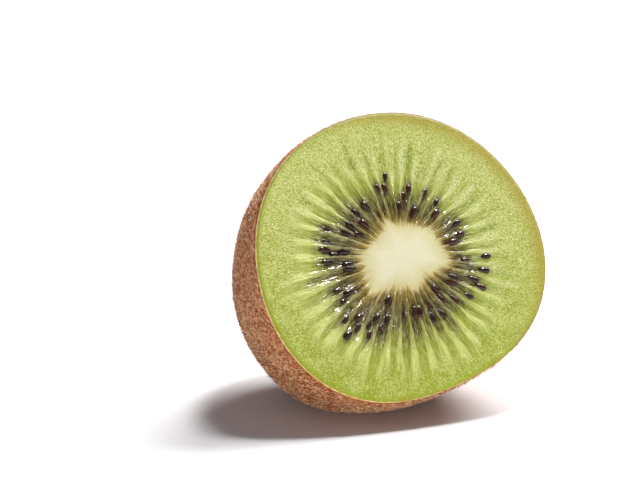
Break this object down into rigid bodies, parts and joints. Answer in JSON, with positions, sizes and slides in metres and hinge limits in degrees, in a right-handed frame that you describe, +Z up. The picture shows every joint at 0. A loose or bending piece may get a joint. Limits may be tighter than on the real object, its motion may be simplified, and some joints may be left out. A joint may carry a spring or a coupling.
{
  "type": "kiwi fruit half",
  "caption": "Half a kiwi fruit cut across its middle, resting on its skin with the green seeded cut face leaning back.",
  "frame": {"origin": "middle of the small flat spot under the fruit that it rests on", "axes": "+Z up, the cut face looks towards -Y and up, the far end points towards +Y and down"},
  "size_m": [0.0529, 0.0448, 0.0495],
  "materials": {
    "flesh": "wet, fine-grained green fruit flesh with paler rays",
    "skin": "dry brown skin with short fuzz",
    "seed": "smooth wet black-brown seeds",
    "sepal": "dry woody scar and sepals"
  },
  "bodies": {
    "root": {"kiwi_half": "flesh"}
  },
  "joints": []
}
